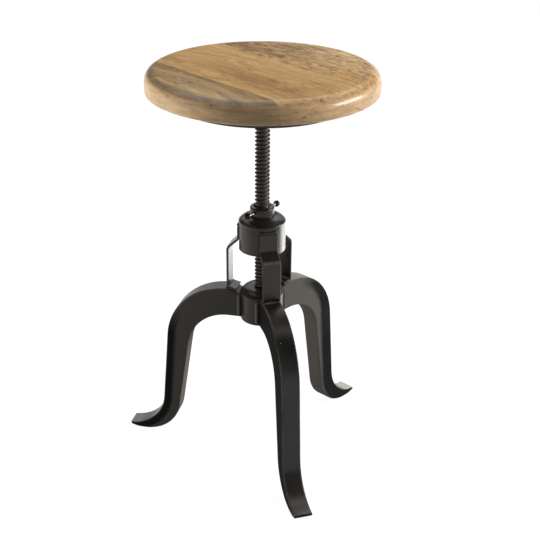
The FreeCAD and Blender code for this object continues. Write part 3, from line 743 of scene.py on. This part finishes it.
def mango_board(name, bands, figure, patches, speckle, rim, ring):
    """Lacquered mango: bands of colour across a board, wavy streaks and pores along it, ragged patches.

    bands are (place across in millimetres, colour); figure is the streaks' colour and share; patches
    are (along, across, half length, half breadth, colour, share); speckle is the share of the small
    dark spots that beetles and stain leave; rim is the colour of the turned edge, which shows layers
    and knots, and ring how dark the shade painted just inside its start is.
    """
    made, tree, shader = new_material(name)
    feed(tree, shader, {"Specular IOR Level": 0.1, "Coat Weight": 0.45, "Coat Roughness": 0.22})
    place = add(tree, "TexCoord").outputs["Object"]
    turn = (0.0, 0.0, -math.radians(GRAIN_ANGLE))
    board = add(tree, "Mapping", {"Vector": place, "Rotation": turn}).outputs["Vector"]

    sway = grain(tree, board, (120, 42, 52.5), 3.0, 0.55, (0.25, 0.75, -10 * MM, 10 * MM))
    shift = add(tree, "CombineXYZ", {"Y": sway}).outputs["Vector"]
    wavy = add(tree, "VectorMath", {0: board, 1: shift}, operation="ADD").outputs["Vector"]
    across = add(tree, "SeparateXYZ", {"Vector": wavy}).outputs["Y"]
    breadth = {"Value": across, 1: -SEAT_RADIUS * MM, 2: SEAT_RADIUS * MM}
    share = add(tree, "MapRange", breadth).outputs["Result"]
    stops = [((mm + SEAT_RADIUS) / (2 * SEAT_RADIUS), code) for mm, code in bands]
    colour = add(tree, "ValToRGB", {"Fac": share}, stops=stops).outputs["Color"]

    ragged = grain(tree, board, (24, 13, 16.25), 8.0, 0.68, (0.2, 0.8, -0.9, 0.9))
    for along, side, half_length, half_breadth, code, most in patches:
        oval = {"Vector": board, "Location": (-along / half_length, -side / half_breadth, 0.0)}
        oval["Scale"] = (1 / (half_length * MM), 1 / (half_breadth * MM), 0.0)
        spot = add(tree, "Mapping", oval).outputs["Vector"]
        far = add(tree, "VectorMath", {0: spot}, operation="LENGTH").outputs["Value"]
        edge = add(tree, "Math", {0: far, 1: ragged}, operation="ADD").outputs[0]
        fading = {"Value": edge, 1: 1.15, 2: 0.45, 3: 0.0, 4: most}
        share = add(tree, "MapRange", fading, **SMOOTH).outputs["Result"]
        colour = add(tree, "Mix", {0: share, 6: colour, 7: linear(code)}, **TINT).outputs[2]

    streaks = grain(tree, wavy, (95, 6.5, 8.125), 5.0, 0.62, (0.46, 0.72, 0.0, figure[1]))
    spots = grain(tree, wavy, (11, 4.5, 5.625), 5.0, 0.7, (0.48, 0.64, 0.0, speckle))
    for share in (streaks, spots):
        colour = add(tree, "Mix", {0: share, 6: colour, 7: linear(figure[0])}, **TINT).outputs[2]

    level = add(tree, "Mapping", {"Vector": place, "Scale": (1.0, 1.0, 0.0)}).outputs["Vector"]
    radius = add(tree, "VectorMath", {0: level}, operation="LENGTH").outputs["Value"]
    # A ring just inside the turned edge is painted darker, as shade where the top turns down into the
    # round-over.
    ring_in, ring_out = RIM_SHADE_RING
    darkening = {"Value": radius, 1: ring_in * MM, 2: ring_out * MM, 3: 1.0, 4: ring}
    rim_shaded = add(tree, "MapRange", darkening, **SMOOTH).outputs["Result"]
    colour = add(tree, "Mix", {0: 1.0, 6: colour, 7: rim_shaded}, **SHADE).outputs[2]
    edge_in, edge_out = TURNED_EDGE
    rounding = {"Value": radius, 1: edge_in * MM, 2: edge_out * MM}
    turned_edge = add(tree, "MapRange", rounding, **SMOOTH).outputs["Result"]
    share = add(tree, "Math", {0: turned_edge, 1: RIM_SHARE}, operation="MULTIPLY").outputs[0]
    colour = add(tree, "Mix", {0: share, 6: colour, 7: linear(rim)}, **TINT).outputs[2]
    layers = grain(tree, place, (34, 34, 3.4), 6.0, 0.62, (0.3, 0.7, 0.74, 1.15))
    colour = add(tree, "Mix", {0: turned_edge, 6: colour, 7: layers}, **SHADE).outputs[2]
    knots = grain(tree, place, (16, 16, 5), 5.0, 0.6, (0.6, 0.72, 0.0, 0.75))
    share = add(tree, "Math", {0: knots, 1: turned_edge}, operation="MULTIPLY").outputs[0]
    colour = add(tree, "Mix", {0: share, 6: colour, 7: linear(KNOT_COLOUR)}, **TINT).outputs[2]

    fibre = grain(tree, wavy, (46, 2.2, 2.75), 4.0, 0.6, (0.28, 0.72, 0.72, 1.18))
    easing = {"Value": turned_edge, 3: 1.0, 4: 0.4}
    fibre_share = add(tree, "MapRange", easing, **SMOOTH).outputs["Result"]
    colour = add(tree, "Mix", {0: fibre_share, 6: colour, 7: fibre}, **SHADE).outputs[2]
    pores = grain(tree, wavy, (11, 1.6, 2.0), 2.0, 0.55, (0.6, 0.7, 0.0, 0.4))
    share = add(tree, "Math", {0: pores, 1: fibre_share}, operation="MULTIPLY").outputs[0]
    colour = add(tree, "Mix", {0: share, 6: colour, 7: linear(PORE_COLOUR)}, **TINT).outputs[2]

    gloss = grain(tree, board, (60, 12, 15), 3.0, 0.55, (0.3, 0.7, 0.4, 0.52))
    relief = {"Height": fibre, "Strength": 0.2, "Distance": 0.1 * MM}
    normal = add(tree, "Bump", relief).outputs["Normal"]
    feed(tree, shader, {"Base Color": colour, "Roughness": gloss, "Normal": normal})
    return made


grey_mango = mango_board(
    "mango_grey",
    bands=[
        (-165, "#a68b64"),
        (-146, "#a48a61"),
        (-130, "#b3986f"),
        (-121, "#977d56"),
        (-108, "#ac9069"),
        (-95, "#896e47"),
    ],
    figure=("#665030", 0.6),
    patches=[(-60, -128, 70, 12, "#7f6743", 0.55), (70, -104, 60, 7, "#8a7049", 0.5)],
    speckle=0.1,
    rim="#c6a57c",
    ring=0.6,
)
golden_mango = mango_board(
    "mango_golden",
    bands=[(-92, "#bd9762"), (-62, "#ab8452"), (-30, "#b38c58"), (6, "#ba9461"), (36, "#c19b68")],
    figure=("#7d5c34", 0.5),
    patches=[
        (-100, -30, 60, 48, "#c09a69", 0.6),
        (50, -48, 95, 22, "#8d693d", 0.6),
        (143, -82, 7, 4, "#3a2c1d", 0.85),
        (161, -37, 9, 5, "#4a3824", 0.7),
    ],
    speckle=0.12,
    rim="#c9a57b",
    ring=0.82,
)
mottled_mango = mango_board(
    "mango_mottled",
    bands=[(36, "#c6a06d"), (50, "#bb9564"), (85, "#c29e6f"), (130, "#c9a87a"), (165, "#cfae81")],
    figure=("#6f5336", 0.5),
    patches=[
        (-90, 62, 75, 22, "#7d6449", 0.75),
        (-62, 100, 62, 34, "#876b4e", 0.65),
        (-10, 72, 40, 12, "#80643f", 0.5),
        (4, 120, 26, 13, "#d3b388", 0.8),
        (106, 98, 36, 22, "#d3ae85", 0.7),
        (106, 58, 20, 9, "#c4994d", 0.65),
        (-84, 63, 12, 6, "#a8704a", 0.5),
    ],
    speckle=0.7,
    rim="#cba87e",
    ring=0.9,
)
dress("board_front", grey_mango)
dress("board_centre", golden_mango)
dress("board_rear", mottled_mango)


# Floor
# A plain matt white studio floor that runs out to the horizon.
# Only its picture is bright, in the view and in the enamel, so that it adds no light to the stool.
FLOOR_SIZE = 200.0
FLOOR_GLOW = 0.94
bpy.ops.mesh.primitive_plane_add(size=FLOOR_SIZE)
floor = bpy.context.object
floor.name = "floor"


def picture_rays(tree):
    """1 on the rays that show a picture and 0 on those that light.

    Pictures are seen by the camera, by reflection or through glass.
    """
    ray = add(tree, "LightPath").outputs
    seen = ray["Is Camera Ray"]
    for kind in ("Is Glossy Ray", "Is Transmission Ray"):
        seen = add(tree, "Math", {0: seen, 1: ray[kind]}, operation="MAXIMUM").outputs[0]
    return seen


floor_paint, floor_tree, floor_shader = new_material("matt_white_floor")
shown = {0: picture_rays(floor_tree), 1: FLOOR_GLOW}
glow = add(floor_tree, "Math", shown, operation="MULTIPLY").outputs[0]
matt = {"Base Color": linear("#5a5a5a"), "Roughness": 0.9, "Specular IOR Level": 0.1}
white = {"Emission Color": linear("#ffffff"), "Emission Strength": glow}
feed(floor_tree, floor_shader, {**matt, **white})
floor.data.materials.append(floor_paint)


# Light
# One large soft box to the right at seat height, large panels overhead and high behind, low ones on both
# sides that stand for light off the floor. The one behind is flagged off the seat, and a small low one
# lights the side of the upper hub alone.


def soft_box(name, place, aim, width, height, power):
    """A rectangular area lamp at a place, turned to face its aim."""
    lamp = bpy.data.lights.new(name, "AREA")
    lamp.shape = "RECTANGLE"
    lamp.size = width
    lamp.size_y = height
    lamp.energy = power
    holder = bpy.data.objects.new(name, lamp)
    holder.location = place
    holder.rotation_euler = (Vector(aim) - Vector(place)).to_track_quat("-Z", "Y").to_euler()
    bpy.context.scene.collection.objects.link(holder)
    return holder


def light_only(lamp, name, pieces):
    """Keeps a lamp's light to some pieces, through a collection that it is linked to."""
    lit = bpy.data.collections.new(name)
    for piece in pieces:
        lit.objects.link(piece)
    lamp.light_linking.receiver_collection = lit


soft_box("right_soft_box", (2.25, -0.85, 0.98), (0, 0, 0.6), 1.4, 0.8, 78.0)
soft_box("top_panel", (0.1, 0.9, 2.9), (0.1, 0.8, 0.5), 4.2, 3.2, 104.0)
back_panel = soft_box("back_panel", (1.3, 4.3, 3.4), (0, 0, 0.5), 8.0, 2.8, 115.0)
low_left = soft_box("low_left_panel", (-0.95, 0.25, 0.05), (-0.3, 0.15, 1.0), 0.7, 1.1, 38.0)
low_right = soft_box("low_right_panel", (0.85, 0.4, 0.03), (0.85, 0.4, 1.0), 1.0, 0.7, 5.4)
hub_panel = soft_box("hub_panel", (0.78, 0.1, 0.02), (0.78, 0.1, 1.0), 0.7, 0.5, 6.0)
low_left.visible_glossy = False
for lamp in (back_panel, low_right, hub_panel):
    lamp.visible_camera = False
hubs = [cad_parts[node] for node in ("upper_hub", "thread_bush", "lower_hub")]
limbs = [bpy.data.objects[side + kind] for side in LEG_AZIMUTHS for kind in ("_leg", "_strap")]
light_only(back_panel, "pieces_below_the_seat", limbs + hubs)
light_only(hub_panel, "upper_hub_alone", hubs[:1])


# Room
# The dim room round the floor, which lights the stool a little from all sides.
# Near the horizon its picture is as white as the floor's, so that no edge shows between them.
ROOM_LIGHT = 0.08
HORIZON_FADE = (0.06, 0.12)
room = bpy.data.worlds.new("pale_room")
room.use_nodes = True
room_tree = room.node_tree
ahead = add(room_tree, "TexCoord").outputs["Generated"]
climb = add(room_tree, "SeparateXYZ", {"Vector": ahead}).outputs["Z"]
fade = {"Value": climb, 1: HORIZON_FADE[0], 2: HORIZON_FADE[1], 3: FLOOR_GLOW, 4: ROOM_LIGHT}
horizon = add(room_tree, "MapRange", fade, **SMOOTH).outputs["Result"]
seen = {0: picture_rays(room_tree), 2: ROOM_LIGHT, 3: horizon}
strength = add(room_tree, "Mix", seen).outputs[0]
background = {"Color": linear("#ffffff"), "Strength": strength}
feed(room_tree, room_tree.nodes["Background"], background)
bpy.context.scene.world = room


# Camera
# Set at the photograph's view: above the seat, in front and a little to the left of the front leg.
# Its place, turn, lens and rise were fitted to the outlines of the seat, the hubs and the legs.
FOCAL_PIXELS = 1098.9
IMAGE_PIXELS = 540.0
RISE_PIXELS = 35.2
SENSOR_WIDTH = 36.0
VIEW_AZIMUTH = 17.1
VIEW_PITCH = 27.29
VIEW_ROLL = 0.486
VIEW_PLACE = Vector((12.7, -1503.7, 1021.8)) * MM
camera = bpy.data.objects.new("camera", bpy.data.cameras.new("camera"))
bpy.context.scene.collection.objects.link(camera)
camera.data.sensor_width = SENSOR_WIDTH
camera.data.lens = FOCAL_PIXELS / IMAGE_PIXELS * SENSOR_WIDTH
camera.data.shift_y = RISE_PIXELS / IMAGE_PIXELS
heading = Matrix.Rotation(-math.radians(VIEW_AZIMUTH), 4, "Z")
tilt = Matrix.Rotation(math.radians(90 - VIEW_PITCH), 4, "X")
roll = Matrix.Rotation(math.radians(VIEW_ROLL), 4, "Z")
camera.matrix_world = heading @ Matrix.Translation(VIEW_PLACE) @ tilt @ roll
bpy.context.scene.camera = camera
bpy.context.scene.view_settings.view_transform = "Standard"
